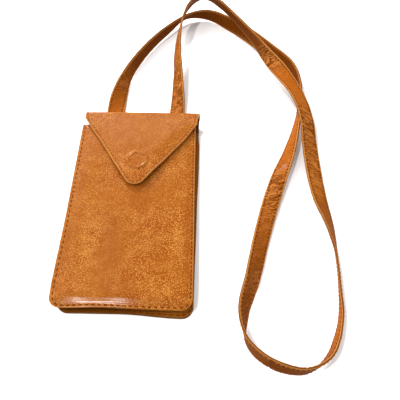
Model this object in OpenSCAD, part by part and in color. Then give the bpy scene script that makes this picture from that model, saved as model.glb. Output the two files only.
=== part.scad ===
// Flat leather phone pouch on a long shoulder strap, lying on its back.
// Origin: middle of the back, on the surface it lies on.
// +X across, to the right of someone facing the front, +Y up to the flap's fold, +Z out of the front.

/* [Pouch] */

// Width of the pouch over the seams
pouch_width = 105; // [92:1:125]
// Height of the front panel, bottom edge to mouth
front_height = 176; // [150:1:200]
// Depth over the front and back panels
pouch_depth = 13.2; // [12:0.2:20]
// Radius of the two bottom corners
corner_radius = 9; // [7.6:0.2:16]
// Thickness of the panel leather
leather = 1.2; // [0.9:0.1:1.6]

/* [Side strip] */

// Width of the seam lips that stand out at the sides
lip_width = 5; // [3.5:0.5:6]
// Thickness of the side strip's leather
strip_leather = 1; // [0.7:0.1:1.2]

/* [Stiffening and lining] */

// Thickness of the stiffener boards
board = 0.6; // [0.4:0.1:0.8]
// Thickness of the lining cloth
lining = 0.4; // [0.2:0.1:0.5]
// Space round a board, so that the panel still bends at its seam
board_gap = 0.2; // [0.1:0.05:0.6]
// Height of the leather facing inside the mouth
facing_height = 16; // [10:1:24]
// Thickness of the facing
facing_leather = 0.6; // [0.4:0.1:1]

/* [Flap] */

// How far the fold stands beyond the mouth
fold_reach = 14; // [12:0.5:22]
// Length of the flap, fold to tip
flap_length = 82; // [64:1:110]
// Height of the straight sides below the fold
flap_side = 11; // [6:0.5:20]
// Radius of the flap's tip
tip_radius = 9.5; // [5:0.5:14]
// Thickness of the flap's lining leather
flap_lining_leather = 0.5; // [0.3:0.1:0.8]
// Space left between the pieces at each crease
crease_gap = 0.3; // [0.3:0.05:0.6]

/* [Snap] */

// Distance from the flap's tip to the middle of the snap
snap_inset = 25; // [18:1:34]
// Diameter of both snap halves
snap_diameter = 18; // [14:0.5:18]
// Height of the female half above the front panel
case_height = 2.5; // [2.3:0.1:4]
// Sheet thickness of the case
case_wall = 0.4; // [0.3:0.05:0.5]
// Bore that takes the stud
snap_bore = 7.6; // [6.5:0.1:8]
// Diameter of the stud
stud_diameter = 6.4; // [5:0.1:6.4]
// Length of the stud below its plate
stud_length = 1.9; // [1:0.1:1.9]
// Thickness of the male plate
male_plate = 0.8; // [0.5:0.1:1]
// Thickness of prongs and washers
prong_sheet = 0.3; // [0.2:0.05:0.4]
// Width of a prong
prong_width = 3; // [2:0.5:4]
// Distance of each prong from the middle
prong_offset = 5; // [4.5:0.25:6]
// How far a bent prong lies on its washer
prong_reach = 2.4; // [1.5:0.1:2.8]
// Diameter of the washers below the leather
washer_diameter = 20; // [18.5:0.5:22]
// Height of the round print that the washer leaves in the flap
print_height = 0.4; // [0.2:0.1:0.8]

/* [Strap] */

// Width of the strap
strap_width = 15; // [12:1:20]
// Thickness of the folded strap
strap_leather = 1.8; // [1.4:0.1:2.4]
// Distance between the middles of the two strap ends
strap_spacing = 60; // [46:1:66]
// Thickness of the strap ends, pared down for the seam
tab_leather = 1.4; // [1:0.1:1.8]
// Length of a strap end inside the seam
tab_length = 15; // [10:1:18]

/* [Hidden] */

// Pieces of the part, as the viewer and the export name them

$fn = 72;

// Overrun of every cut
over = 1;
// Least radius of an inner corner
least_radius = 0.5;
// Loose fit round prongs and washers
fit = 0.2;

// Colours
tan_leather = "#c27636";
dark_leather = "#8a4c1c";
raw_leather = "#d8a06a";
cloth = "#6b4a32";
card = "#b9a88c";
nickel = "#c9c6be";
ferrite = "#3c3c3e";

// Heights of the layers at the front
front_under = pouch_depth - leather;
board_under = front_under - board;
lining_under = board_under - lining;
facing_under = board_under - facing_leather;

// Insets of what lies inside the side strip
web_inset = lip_width + strip_leather;
lined_inset = web_inset + lining;
inner_inset = lined_inset + board_gap;

// Places along the height
fold_y = (front_height + fold_reach) / 2;
foot_y = -fold_y;
mouth_y = foot_y + front_height;
tip_y = fold_y - flap_length;
snap_y = tip_y + snap_inset;
facing_foot = mouth_y - facing_height;

// Flap root, above the strap ends
root_under = leather + tab_leather;
root_top = root_under + leather;
root_foot = mouth_y + board_gap;
back_top = fold_y - 2.5 * strap_leather;
tab_foot = back_top - tab_length;
stay_rail = 3;
stay_foot = tab_foot - stay_rail;
back_inner_top = stay_foot - board_gap;

// Heights of the snap, front to flap
prongs_top = pouch_depth + prong_sheet;
pole_top = prongs_top + case_wall;
case_top = pouch_depth + case_height;
male_under = case_top + crease_gap;
male_top = male_under + male_plate;
bridge_under = male_top - prong_sheet;
stud_foot = male_under - stud_length;
stud_shank = stud_diameter / 2;

// Flap, from its lining up
flap_lining_under = male_top;
flap_under = flap_lining_under + flap_lining_leather;
flap_top = flap_under + leather;
edge_step = 0.6;
tip_steps = 24;

// Spine between the two creases
spine_foot = root_top + crease_gap;
spine_top = flap_under - crease_gap;
spine_lining_inset = 2 * leather;

// Washers
washer_top = flap_under + prong_sheet;
tips_top = washer_top + prong_sheet;

// Lap where the two lengths of the strap are joined
lap_gap = 0.1;
ring_steps = 3;

// Way of the strap's middle line, chosen by hand: x, y, z and the roll in degrees.
// Roll 0 lies face up, 90 stands on its right edge. The first and last rows only aim the ends.
left_route = [
    [-30, 81, 1.2, 0], [-30, 91, 1.2, 0], [-29, 109, 2.3, 5], [-27, 127, 5.6, 35],
    [-22, 150, 8, 65], [-13, 175, 8, 80], [1, 201, 8.5, 90], [18, 225, 8.5, 102],
    [37, 245, 9.5, 122], [60, 249, 8.5, 98], [82, 236, 8, 70], [104, 217, 7.5, 50],
    [126, 192, 7.5, 50], [145, 168, 8, 75], [152, 143, 8.5, 90], [150, 115, 8.5, 85],
    [144, 88, 8, 70], [135, 58, 7, 45], [124, 29, 6.5, 15], [114, -1, 5, -10],
    [105, -33, 5.5, -25], [97, -65, 7, -35], [89, -93, 8, -56]
];
lap_route = [
    [91, -115, 9, -90], [107, -130, 9.5, -100], [130, -135, 9.5, -93], [149, -124, 9, -80]
];
right_route = [
    [160, -99, 8, -90], [163, -73, 8, -102], [164, -46, 8, -108], [162, -19, 8, -130],
    [158, 9, 5, -155], [156, 37, 4.5, -165], [154, 63, 10, -165], [152, 89, 18, -160],
    [146, 115, 21, -165], [135, 143, 20, -190], [121, 169, 20, -240], [107, 195, 22, -268],
    [91, 220, 24, -282], [73, 244, 26, -287], [54, 258, 27, -290], [38, 239, 26, -287],
    [31, 211, 23, -285], [29, 183, 18, -295], [30, 155, 12, -305], [31, 129, 6.5, -325],
    [31, 109, 2.6, -350], [30, 91, 1.2, -360], [30, 81, 1.2, -360]
];

// A point on the smooth curve between b and c
function blend(a, b, c, d, t) =
    (2 * b + (c - a) * t + (2 * a - 5 * b + 4 * c - d) * t * t
        + (3 * b - a - 3 * c + d) * t * t * t) / 2;

// Places of the rings along a route
function stations(route) = concat(
    [for (i = [1 : len(route) - 3], j = [0 : ring_steps - 1])
        blend(route[i - 1], route[i], route[i + 1], route[i + 2], j / ring_steps)],
    [route[len(route) - 2]]
);

function place(row) = [row[0], row[1], row[2]];
function unit(v) = v / norm(v);

// Direction of travel at ring i
function travel(rows, i) =
    unit(place(rows[min(i + 1, len(rows) - 1)]) - place(rows[max(i - 1, 0)]));

// Direction across the strap at ring i, turned by its roll
function across(rows, i) =
    let (t = travel(rows, i), left = unit([-t[1], t[0], 0]), up = cross(t, left))
    cos(rows[i][3]) * left + sin(rows[i][3]) * up;

// Eight corners of the strap's section, between the heights low and high
function section(low, high) =
    let (w = strap_width / 2, bevel = strap_leather / 4)
    [
        [w, low + bevel / 2], [w, high - bevel / 2], [w - bevel, high], [bevel - w, high],
        [-w, high - bevel / 2], [-w, low + bevel / 2], [bevel - w, low], [w - bevel, low]
    ];

// Points of ring i
function ring(rows, i, low, high) =
    let (w = across(rows, i), n = cross(travel(rows, i), w))
    [for (p = section(low, high)) place(rows[i]) + p[0] * w + p[1] * n];

// One unbroken strip along rows; lows and highs give its two faces at each ring
module strip(rows, lows, highs) {
    count = len(rows);
    sides = len(section(0, strap_leather));
    points = [for (i = [0 : count - 1]) each ring(rows, i, lows[i], highs[i])];
    walls = [for (i = [0 : count - 2], j = [0 : sides - 1])
        let (a = i * sides + j, b = i * sides + (j + 1) % sides)
        each [[a, b, b + sides], [a, b + sides, a + sides]]];
    last = (count - 1) * sides;
    caps = [for (j = [1 : sides - 2]) each [[0, j + 1, j], [last, last + j, last + j + 1]]];
    polyhedron(points = points, faces = concat(walls, caps), convexity = 10);
}

// Outline of the pouch, drawn in by an inset, from the bottom edge up to a height
module pouch_outline(inset, top) {
    radius = max(corner_radius - inset, least_radius);
    half = pouch_width / 2 - inset;
    low = foot_y + inset;
    translate([-half, low + radius])
        square([2 * half, top - low - radius]);
    translate([radius - half, low])
        square([2 * (half - radius), 2 * radius]);
    for (side = [-1, 1])
        translate([side * (half - radius), low + radius])
            circle(r = radius);
}

// Strip between two insets that follows the sides and the bottom
module outline_band(outer, inner, top) {
    difference() {
        pouch_outline(outer, top);
        pouch_outline(inner, top + over);
    }
}

// Outline of the flap, drawn in by an inset: straight sides, two slants and a round tip
module flap_outline(inset) {
    half = pouch_width / 2 - inset;
    shoulder = fold_y - flap_side;
    radius = tip_radius - inset;
    centre_y = tip_y + tip_radius;
    reach = norm([half, shoulder - centre_y]);
    turn = atan2(shoulder - centre_y, half) - acos(radius / reach);
    sweep = -180 - 2 * turn;
    tip = [for (k = [0 : tip_steps])
        let (a = turn + sweep * k / tip_steps)
        [radius * cos(a), centre_y + radius * sin(a)]];
    polygon(concat(
        [[half, fold_y - inset], [half, shoulder]], tip,
        [[-half, shoulder], [-half, fold_y - inset]]
    ));
}

// Two slots for the prongs of a snap half
module prong_slots(low, high) {
    for (side = [-1, 1])
        translate([side * prong_offset, snap_y, (low + high) / 2])
            cube([prong_sheet + fit, prong_width + fit, high - low + 2 * over], center = true);
}

// Two prongs from one level to another, bent outwards at the far end
module prongs(from, to, bend_low) {
    for (side = [-1, 1]) {
        translate([side * prong_offset, snap_y, (from + to) / 2])
            cube([prong_sheet, prong_width, to - from], center = true);
        translate([side * (prong_offset + prong_reach / 2), snap_y, bend_low + prong_sheet / 2])
            cube([prong_reach, prong_width, prong_sheet], center = true);
    }
}

// Flat disc on the snap's axis
module snap_disc(diameter, low, high) {
    translate([0, snap_y, low])
        cylinder(d = diameter, h = high - low);
}

module front_panel() {
    color(tan_leather)
        difference() {
            translate([0, 0, front_under])
                linear_extrude(height = leather)
                    pouch_outline(0, mouth_y);
            prong_slots(front_under, pouch_depth);
        }
}

module front_board() {
    color(card)
        difference() {
            translate([0, 0, board_under])
                linear_extrude(height = board)
                    pouch_outline(inner_inset, mouth_y - leather);
            snap_disc(washer_diameter + fit, board_under - over, front_under + over);
        }
}

module front_lining() {
    color(cloth)
        translate([0, 0, lining_under])
            linear_extrude(height = lining)
                pouch_outline(inner_inset, facing_foot);
}

module mouth_facing() {
    half = pouch_width / 2 - inner_inset;
    color(raw_leather)
        translate([-half, facing_foot, facing_under])
            cube([2 * half, facing_height, facing_leather]);
}

module back_panel() {
    color(tan_leather)
        linear_extrude(height = leather)
            pouch_outline(0, back_top);
}

module back_board() {
    color(card)
        translate([0, 0, leather])
            linear_extrude(height = board)
                pouch_outline(inner_inset, back_inner_top);
}

module back_lining() {
    color(cloth)
        translate([0, 0, leather + board])
            linear_extrude(height = lining)
                pouch_outline(inner_inset, back_inner_top);
}

module root_stiffener() {
    half = pouch_width / 2 - inner_inset;
    notch = strap_width + 2 * fit;
    color(card)
        difference() {
            translate([-half, stay_foot, leather])
                cube([2 * half, back_top - stay_foot, tab_leather]);
            for (side = [-1, 1])
                translate([side * strap_spacing / 2 - notch / 2, tab_foot - fit, leather - over])
                    cube([notch, tab_length + fit + over, tab_leather + 2 * over]);
        }
}

module gusset() {
    depth = pouch_depth - 2 * leather;
    color(dark_leather)
        translate([0, 0, leather]) {
            linear_extrude(height = depth)
                outline_band(lip_width, web_inset, mouth_y);
            for (low = [0, depth - strip_leather])
                translate([0, 0, low])
                    linear_extrude(height = strip_leather)
                        outline_band(0, web_inset, mouth_y);
        }
}

module gusset_lining() {
    color(cloth)
        translate([0, 0, leather])
            linear_extrude(height = pouch_depth - 2 * leather)
                outline_band(web_inset, lined_inset, mouth_y - leather);
}

module flap_root() {
    color(tan_leather)
        translate([-pouch_width / 2, root_foot, root_under])
            cube([pouch_width, fold_y - root_foot, leather]);
}

module flap_spine() {
    color(tan_leather)
        translate([-pouch_width / 2, fold_y - leather, spine_foot])
            cube([pouch_width, leather, spine_top - spine_foot]);
}

module spine_lining() {
    half = pouch_width / 2 - spine_lining_inset;
    low = spine_foot + leather;
    color(raw_leather)
        translate([-half, fold_y - leather - flap_lining_leather, low])
            cube([2 * half, flap_lining_leather, spine_top - leather - low]);
}

module flap() {
    color(tan_leather)
        difference() {
            union() {
                translate([0, 0, flap_under])
                    linear_extrude(height = leather)
                        difference() {
                            flap_outline(0);
                            translate([-pouch_width / 2 - over, fold_y - leather])
                                square([pouch_width + 2 * over, leather + over]);
                        }
                // round turn of the leather at the fold
                intersection() {
                    translate([-pouch_width / 2, fold_y - leather, flap_under])
                        rotate([0, 90, 0])
                            cylinder(r = leather, h = pouch_width);
                    translate([-pouch_width / 2, fold_y - leather, flap_under])
                        cube([pouch_width, leather, leather]);
                }
                snap_disc(washer_diameter + 2 * leather, flap_under, flap_top + print_height);
            }
            snap_disc(washer_diameter + fit, flap_under - over, tips_top + fit);
        }
}

module flap_lining() {
    color(raw_leather)
        difference() {
            translate([0, 0, flap_lining_under])
                linear_extrude(height = flap_lining_leather)
                    difference() {
                        flap_outline(edge_step);
                        translate([-pouch_width / 2 - over, fold_y - 2 * leather])
                            square([pouch_width + 2 * over, 2 * leather + over]);
                    }
            prong_slots(flap_lining_under, flap_under);
        }
}

module snap_case() {
    color(nickel)
        difference() {
            snap_disc(snap_diameter, prongs_top, case_top);
            snap_disc(snap_diameter - 2 * case_wall, prongs_top - over, case_top - case_wall);
            snap_disc(snap_bore, case_top - 2 * case_wall, case_top + over);
        }
}

module snap_magnet() {
    outer = snap_diameter - 2 * case_wall - fit;
    color(ferrite)
        difference() {
            snap_disc(outer, pole_top, case_top - case_wall);
            snap_disc(snap_bore, pole_top - over, case_top);
        }
}

module snap_pole_plate() {
    color(nickel)
        snap_disc(snap_diameter - 2 * case_wall - fit, prongs_top, pole_top);
}

module snap_female_prongs() {
    color(nickel) {
        snap_disc(snap_diameter, pouch_depth, prongs_top);
        prongs(board_under, prongs_top, board_under);
    }
}

module snap_female_washer() {
    color(nickel)
        difference() {
            snap_disc(washer_diameter, board_under + prong_sheet, front_under);
            prong_slots(board_under, front_under);
        }
}

module snap_male_plate() {
    channel = 2 * prong_offset + prong_sheet + fit;
    color(nickel)
        difference() {
            snap_disc(snap_diameter, male_under, male_top);
            snap_disc(stud_shank, male_under - over, male_top + over);
            translate([-channel / 2, snap_y - (prong_width + fit) / 2, bridge_under])
                cube([channel, prong_width + fit, prong_sheet + over]);
        }
}

module snap_stud() {
    color(nickel) {
        snap_disc(stud_diameter, stud_foot, male_under);
        snap_disc(stud_shank, male_under, bridge_under);
    }
}

// Prongs and the bridge between them, bent from one strip
module snap_male_prongs() {
    color(nickel) {
        translate([-prong_offset, snap_y - prong_width / 2, bridge_under])
            cube([2 * prong_offset, prong_width, prong_sheet]);
        prongs(bridge_under, tips_top, washer_top);
    }
}

module snap_male_washer() {
    color(nickel)
        difference() {
            snap_disc(washer_diameter, flap_under, washer_top);
            prong_slots(flap_under, washer_top);
        }
}

module strap_tab(side) {
    color(dark_leather)
        translate([side * strap_spacing / 2 - strap_width / 2, tab_foot, leather])
            cube([strap_width, back_top - tab_foot, tab_leather]);
}

module strap_tab_left() {
    strap_tab(-1);
}

module strap_tab_right() {
    strap_tab(1);
}

module strap_left_length() {
    rows = stations(concat(left_route, lap_route));
    lap_start = len(rows) - 1 - ring_steps;
    half = strap_leather / 2;
    lows = [for (i = [0 : len(rows) - 1]) i < lap_start ? -half : lap_gap / 2];
    highs = [for (row = rows) half];
    color(tan_leather)
        strip(rows, lows, highs);
}

module strap_right_length() {
    rows = stations(concat(lap_route, right_route));
    half = strap_leather / 2;
    lows = [for (row = rows) -half];
    highs = [for (i = [0 : len(rows) - 1]) i > ring_steps ? half : -lap_gap / 2];
    color(tan_leather)
        strip(rows, lows, highs);
}

front_panel();
front_board();
front_lining();
mouth_facing();
back_panel();
back_board();
back_lining();
root_stiffener();
gusset();
gusset_lining();
flap_root();
flap_spine();
spine_lining();
flap();
flap_lining();
snap_case();
snap_magnet();
snap_pole_plate();
snap_female_prongs();
snap_female_washer();
snap_male_plate();
snap_stud();
snap_male_prongs();
snap_male_washer();
strap_tab_left();
strap_tab_right();
strap_left_length();
strap_right_length();
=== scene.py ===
import math

import bpy
from mathutils import Matrix, Vector, noise


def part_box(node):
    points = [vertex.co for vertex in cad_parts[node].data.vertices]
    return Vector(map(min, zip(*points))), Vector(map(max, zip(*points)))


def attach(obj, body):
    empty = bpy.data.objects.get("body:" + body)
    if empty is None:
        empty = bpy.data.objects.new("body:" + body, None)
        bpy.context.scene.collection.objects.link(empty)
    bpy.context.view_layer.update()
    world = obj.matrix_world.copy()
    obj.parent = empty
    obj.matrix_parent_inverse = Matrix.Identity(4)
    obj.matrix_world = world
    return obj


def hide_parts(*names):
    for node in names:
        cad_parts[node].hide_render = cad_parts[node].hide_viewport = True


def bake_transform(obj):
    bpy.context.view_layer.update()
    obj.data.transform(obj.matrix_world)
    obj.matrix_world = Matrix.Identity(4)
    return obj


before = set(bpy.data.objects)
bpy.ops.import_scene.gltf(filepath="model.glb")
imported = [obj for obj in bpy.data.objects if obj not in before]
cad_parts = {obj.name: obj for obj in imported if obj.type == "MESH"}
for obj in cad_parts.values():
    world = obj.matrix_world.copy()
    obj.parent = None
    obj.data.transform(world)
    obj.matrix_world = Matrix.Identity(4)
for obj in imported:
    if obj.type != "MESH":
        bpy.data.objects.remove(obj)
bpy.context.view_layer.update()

mm = 0.001


# ---- camera, floor and light

CAMERA_PLACE = (0.0578, -0.2101, 0.3506)
CAMERA_TURNS = (0.559, -0.0133, 0.0048)
CAMERA_LENS = 42.75
FLOOR_HEIGHT = -0.0002


def aim_camera():
    """The photograph's view, from above the lower edge of the pouch."""
    pitch, yaw, roll = CAMERA_TURNS
    forward = Vector((math.sin(yaw) * math.sin(pitch), math.cos(yaw) * math.sin(pitch), -math.cos(pitch)))
    right = forward.cross(Vector((0, 0, 1))).normalized()
    up = right.cross(forward)
    level = math.cos(roll) * right + math.sin(roll) * up
    upright = math.cos(roll) * up - math.sin(roll) * right
    bpy.ops.object.camera_add()
    camera = bpy.context.object
    camera.matrix_world = Matrix((
        (level.x, upright.x, -forward.x, CAMERA_PLACE[0]),
        (level.y, upright.y, -forward.y, CAMERA_PLACE[1]),
        (level.z, upright.z, -forward.z, CAMERA_PLACE[2]),
        (0, 0, 0, 1),
    ))
    camera.data.lens = CAMERA_LENS
    camera.data.sensor_width = 36
    camera.data.clip_start = 0.01
    bpy.context.scene.camera = camera


def lay_floor():
    bpy.ops.mesh.primitive_plane_add(size=6, location=(0.05, 0, FLOOR_HEIGHT))
    floor = bpy.context.object
    floor.name = "floor"
    sheet = bpy.data.materials.new("pale_floor")
    sheet.use_nodes = True
    coat = sheet.node_tree.nodes["Principled BSDF"]
    coat.inputs["Base Color"].default_value = (0.96, 0.96, 0.96, 1)
    coat.inputs["Roughness"].default_value = 0.9
    floor.data.materials.append(sheet)


def hang_light(name, place, target, size, power):
    bpy.ops.object.light_add(type="AREA", location=place)
    lamp = bpy.context.object
    lamp.name = name
    lamp.data.shape = "RECTANGLE"
    lamp.data.size, lamp.data.size_y = size
    lamp.data.energy = power
    lamp.rotation_euler = (Vector(target) - Vector(place)).to_track_quat("-Z", "Y").to_euler()


def light_studio():
    hang_light("window_light", (-1.0, 1.2, 0.65), (0.03, 0.03, 0), (1.2, 0.7), 4)
    hang_light("ring_light", (-0.45, 1.1, 0.6), (0.0, 0.04, 0), (0.19, 0.19), 19)
    hang_light("ceiling_light", (-1.25, 0.6, 1.5), (0.03, 0.03, 0), (1.6, 1.6), 22)
    hang_light("back_light", (-0.3, 1.3, 1.3), (0.0, 0.08, 0), (0.9, 0.4), 6)
    hang_light("glint_light", (-0.49, -0.31, 1.6), (0.0, 0.0, 0), (0.05, 0.05), 13)
    hang_light("side_light", (1.2, -0.2, 0.5), (0.03, 0.0, 0), (0.9, 0.6), 5)
    world = bpy.data.worlds.new("studio")
    world.use_nodes = True
    sky = world.node_tree.nodes["Background"]
    sky.inputs["Color"].default_value = (1, 1, 1, 1)
    sky.inputs["Strength"].default_value = 0.74
    bpy.context.scene.world = world
    bpy.context.scene.view_settings.view_transform = "Standard"


aim_camera()
lay_floor()
light_studio()


# ---- finishes

# Numbered sockets of Blender's nodes
OBJECT_PLACE, FACTOR, COLOUR, LENGTH = 3, 2, 1, 1
MIX_SHARE, MIX_PLAIN, MIX_DYED, MIX_RESULT = 0, 6, 7, 2


class Dye:
    """A socket of a finish; sums on it add the nodes they need."""

    def __init__(self, tree, socket=None):
        self.tree, self.socket = tree, socket

    def node(self, kind, settings=None, inputs=None, output=0):
        made = self.tree.nodes.new("ShaderNode" + kind)
        for key, value in (settings or {}).items():
            setattr(made, key, value)
        for key, value in (inputs or {}).items():
            if isinstance(value, Dye):
                self.tree.links.new(value.socket, made.inputs[key])
            else:
                made.inputs[key].default_value = value
        return Dye(self.tree, made.outputs[output])

    def math(self, operation, *values):
        return self.node("Math", {"operation": operation}, dict(enumerate(values)))

    def __add__(self, other):
        return self.math("ADD", self, other)

    def __radd__(self, other):
        return self.math("ADD", other, self)

    def __sub__(self, other):
        return self.math("SUBTRACT", self, other)

    def __rsub__(self, other):
        return self.math("SUBTRACT", other, self)

    def __mul__(self, other):
        return self.math("MULTIPLY", self, other)

    def __rmul__(self, other):
        return self.math("MULTIPLY", other, self)

    def size(self):
        """The value without its sign."""
        return self.math("ABSOLUTE", self)

    def between(self, low, high):
        """0 below low, 1 above high, smooth in between."""
        return self.node("MapRange", {"interpolation_type": "SMOOTHSTEP"},
                         {"Value": self, "From Min": low, "From Max": high})

    def tint(self, plain, dyed):
        """The plain colour at 0, the dyed one at 1."""
        plain = plain if isinstance(plain, Dye) else (*plain, 1)
        dyed = dyed if isinstance(dyed, Dye) else (*dyed, 1)
        return self.node("Mix", {"data_type": "RGBA"},
                         {MIX_SHARE: self, MIX_PLAIN: plain, MIX_DYED: dyed}, MIX_RESULT)


def start_finish(name):
    """An empty finish: its material, its first dye, the place on the object and its shader."""
    finish = bpy.data.materials.new(name)
    finish.use_nodes = True
    dye = Dye(finish.node_tree)
    where = dye.node("TexCoord", None, None, OBJECT_PLACE)
    return finish, dye, where, finish.node_tree.nodes["Principled BSDF"]


def into(dye, shader, name):
    dye.tree.links.new(dye.socket, shader.inputs[name])


def coat(shader, colour, roughness):
    into(colour, shader, "Base Color")
    into(roughness, shader, "Roughness")


def relief(dye, shader, strength, depth, height):
    bump = dye.node("Bump", None, {"Strength": strength, "Distance": depth, "Height": height})
    into(bump, shader, "Normal")


def cloud(dye, where, size, detail=2.0, rough=0.5):
    """Soft noise with patches of about that size in metres."""
    return dye.node("TexNoise", None,
                    {"Vector": where, "Scale": 1 / size, "Detail": detail, "Roughness": rough})


def pebble(dye, where, size, feature="F1", output=0):
    """Pebbles of the grain: output 0 is the way to the middle or the edge, 1 a shade of each pebble's own."""
    return dye.node("TexVoronoi", {"feature": feature, "voronoi_dimensions": "2D"},
                    {"Vector": where, "Scale": 1 / size, "Randomness": 1.0}, output)


def soft_places(dye, where, ragged, places):
    """1 inside soft ovals (x, y, half width, half length in mm, turn in degrees), 0 away from them."""
    found = None
    for x, y, wide, long, turn in places:
        away = dye.node("VectorMath", {"operation": "LENGTH"}, {
            0: dye.node("Mapping", {"vector_type": "TEXTURE"},
                        {"Vector": where, "Location": (x * mm, y * mm, 0), "Scale": (wide * mm, long * mm, 1),
                         "Rotation": (0, 0, math.radians(turn))})}, LENGTH)
        patch = 1 - (away + ragged * 0.5).between(0.55, 1.35)
        found = patch if found is None else found.math("MAXIMUM", found, patch)
    return found


def painted(dye, name):
    """A value painted on the points of the piece."""
    return dye.node("Attribute", {"attribute_name": name}, None, FACTOR)


# Where the side strip's lower end gets painted shade, towards the left.
FOOT_SHADE_PLACES = [(-24, -96, 62, 14, 0)]


def grain_leather(name, deep, mid, light, gloss, glaze, grain, calm=(), lively=(), painted_sheen=(), painted_shade=None,
                  foot=None):
    """Dyed, glazed leather: patchy dye, small pebbles with painted glints on their tops and darker pores
    between them.

    calm: soft ovals where the pebbles' painted glints, the light blotches and the dark pores are weaker.
    lively: soft ovals where the pebbles' painted glints are strongest.
    painted_sheen: soft ovals painted a little lighter, a painted sheen.
    painted_shade: the colour of the painted shade on the strap's darker lengths; it also brings the strap's
    creases, with painted shade in their lines and painted light between them.
    foot: the colour of the painted shade on the lower end, towards the left.

    All of them follow one photograph, in which darker dye and shade look the same."""
    finish, dye, where, shader = start_finish(name)
    hide = dye.node("Mapping", None, {
        "Vector": dye.node("UVMap", {"uv_map": "hide"}), "Rotation": (0, 0, 0.6)})
    bent = dye.node("VectorMath", {"operation": "ADD"}, {
        0: hide,
        1: dye.node("VectorMath", {"operation": "SCALE"}, {
            0: dye.node("TexNoise", None, {"Vector": hide, "Scale": 300.0, "Detail": 1.0}, COLOUR),
            "Scale": 0.0006}),
    })
    pebbles = pebble(dye, bent, grain)
    bright = pebble(dye, bent, grain, output=COLOUR).between(0.3, 0.7)
    pores = pebble(dye, bent, grain, "DISTANCE_TO_EDGE")
    fine = cloud(dye, where, 0.3 * grain)
    patches = cloud(dye, where, 0.036)
    blotches = cloud(dye, where, 0.008, 3.0, 0.6)
    # Strength of the grain's colour: light blotches, painted glints on the pebbles' tops and darker pores.
    grain_and_glints = 0.5 + patches.between(0.35, 0.65) * 0.35 + blotches.between(0.35, 0.7) * 0.15
    body = patches.between(0.3, 0.7).tint(mid, deep)
    if calm:
        grain_and_glints = grain_and_glints * (1 - soft_places(dye, where, blotches, calm) * 0.5)
    if lively:
        grain_and_glints = grain_and_glints * (1 + soft_places(dye, where, blotches, lively) * 0.5)
    if painted_shade:
        grain_and_glints = grain_and_glints * (0.45 + painted(dye, "creased") * 0.45)
    # A painted sheen: soft ovals a little lighter.
    if painted_sheen:
        body = (soft_places(dye, where, blotches, painted_sheen) * 0.09).tint(body, light)
    body = (grain_and_glints * blotches.between(0.35, 0.75) * 0.25).tint(body, light)
    # The pebbles' light tops are painted glints.
    body = ((1 - pebbles.between(0.12, 0.5)) * grain_and_glints * (0.2 + bright * 0.85)).tint(body, light)
    body = ((1 - pores.between(0.0, 0.12)) * grain_and_glints * 0.25).tint(body, deep)
    height = pores.between(0.0, 0.35) * 0.7 - pebbles * 0.3 + fine * 0.15
    # The strap's darker lengths are painted shade; its creases have a bump, painted shade in their lines and
    # painted light between them.
    if painted_shade:
        folded = painted(dye, "creased")
        ridges = dye.node("TexNoise", None, {
            "Vector": dye.node("Mapping", None, {"Vector": hide, "Rotation": (0, 0, -0.3),
                                                           "Scale": (90.0, 340.0, 1.0)}),
            "Scale": 1.0, "Detail": 3.0, "Distortion": 1.4})
        ridge = (1 - (ridges - 0.5).size() * 6.0).between(0.3, 1.0)
        body = (painted(dye, "painted_shade") * (0.85 + blotches * 0.15)).tint(body, painted_shade)
        body = (folded * (1 - ridge) * 0.45).tint(body, light)
        body = (folded * ridge * 0.9).tint(body, painted_shade)
        height = height - folded * ridge * 2.6
    # Painted shade on the lower end, towards the left.
    if foot:
        body = (soft_places(dye, where, blotches, FOOT_SHADE_PLACES) * 0.9).tint(body, foot)
    coat(shader, body, gloss + blotches * 0.16 + fine * 0.12)
    into(glaze * (0.7 + blotches.between(0.35, 0.6) * 0.3), shader, "Coat Weight")
    shader.inputs["Specular IOR Level"].default_value = 0.03 if glaze > 0.02 else 0.005
    shader.inputs["Coat Roughness"].default_value = 0.15
    bump = dye.node("Bump", None, {"Strength": 0.8, "Distance": 0.00008, "Height": height})
    waves = dye.node("Bump", None,
                     {"Strength": 0.35, "Distance": 0.0009, "Height": cloud(dye, where, 0.012),
                      "Normal": bump})
    into(waves, shader, "Normal")
    return finish


def raw_edge(name, light, dark):
    """Cut edge of leather: pressed fibres in fine layers."""
    finish, dye, where, shader = start_finish(name)
    layers = dye.node("Mapping", None, {"Vector": where, "Scale": (1.0, 1.0, 6.0)})
    fibres = cloud(dye, layers, 0.0009, 3.0, 0.65)
    coat(shader, fibres.between(0.3, 0.7).tint(dark, light), 0.62 + fibres * 0.2)
    shader.inputs["Specular IOR Level"].default_value = 0.05
    relief(dye, shader, 0.5, 0.0002, fibres)
    return finish


def split_leather(name, dark, light, nap_light=0.25):
    """Inner side of leather, matt and fibrous."""
    finish, dye, where, shader = start_finish(name)
    nap = cloud(dye, where, 0.0007, 4.0, 0.7)
    patches = cloud(dye, where, 0.02)
    coat(shader, (nap * 0.6 + patches * 0.4).between(0.35, 0.65).tint(dark, light), 0.78 + nap * 0.12)
    shader.inputs["Sheen Weight"].default_value = nap_light
    shader.inputs["Specular IOR Level"].default_value = nap_light
    relief(dye, shader, 0.5, 0.00025, nap)
    return finish


def lining_weave(name, dark, light):
    """Plain weave of the lining, 0.7 mm threads both ways."""
    finish, dye, where, shader = start_finish(name)
    warp = dye.node("TexWave", {"bands_direction": "X"}, {"Vector": where, "Scale": 700.0})
    weft = dye.node("TexWave", {"bands_direction": "Y"}, {"Vector": where, "Scale": 700.0})
    threads = warp * weft
    slub = cloud(dye, where, 0.004)
    coat(shader, (threads * 0.7 + slub * 0.3).tint(dark, light), 0.8 + threads * 0.1)
    shader.inputs["Sheen Weight"].default_value = 0.2
    relief(dye, shader, 0.5, 0.0002, threads)
    return finish


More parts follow.
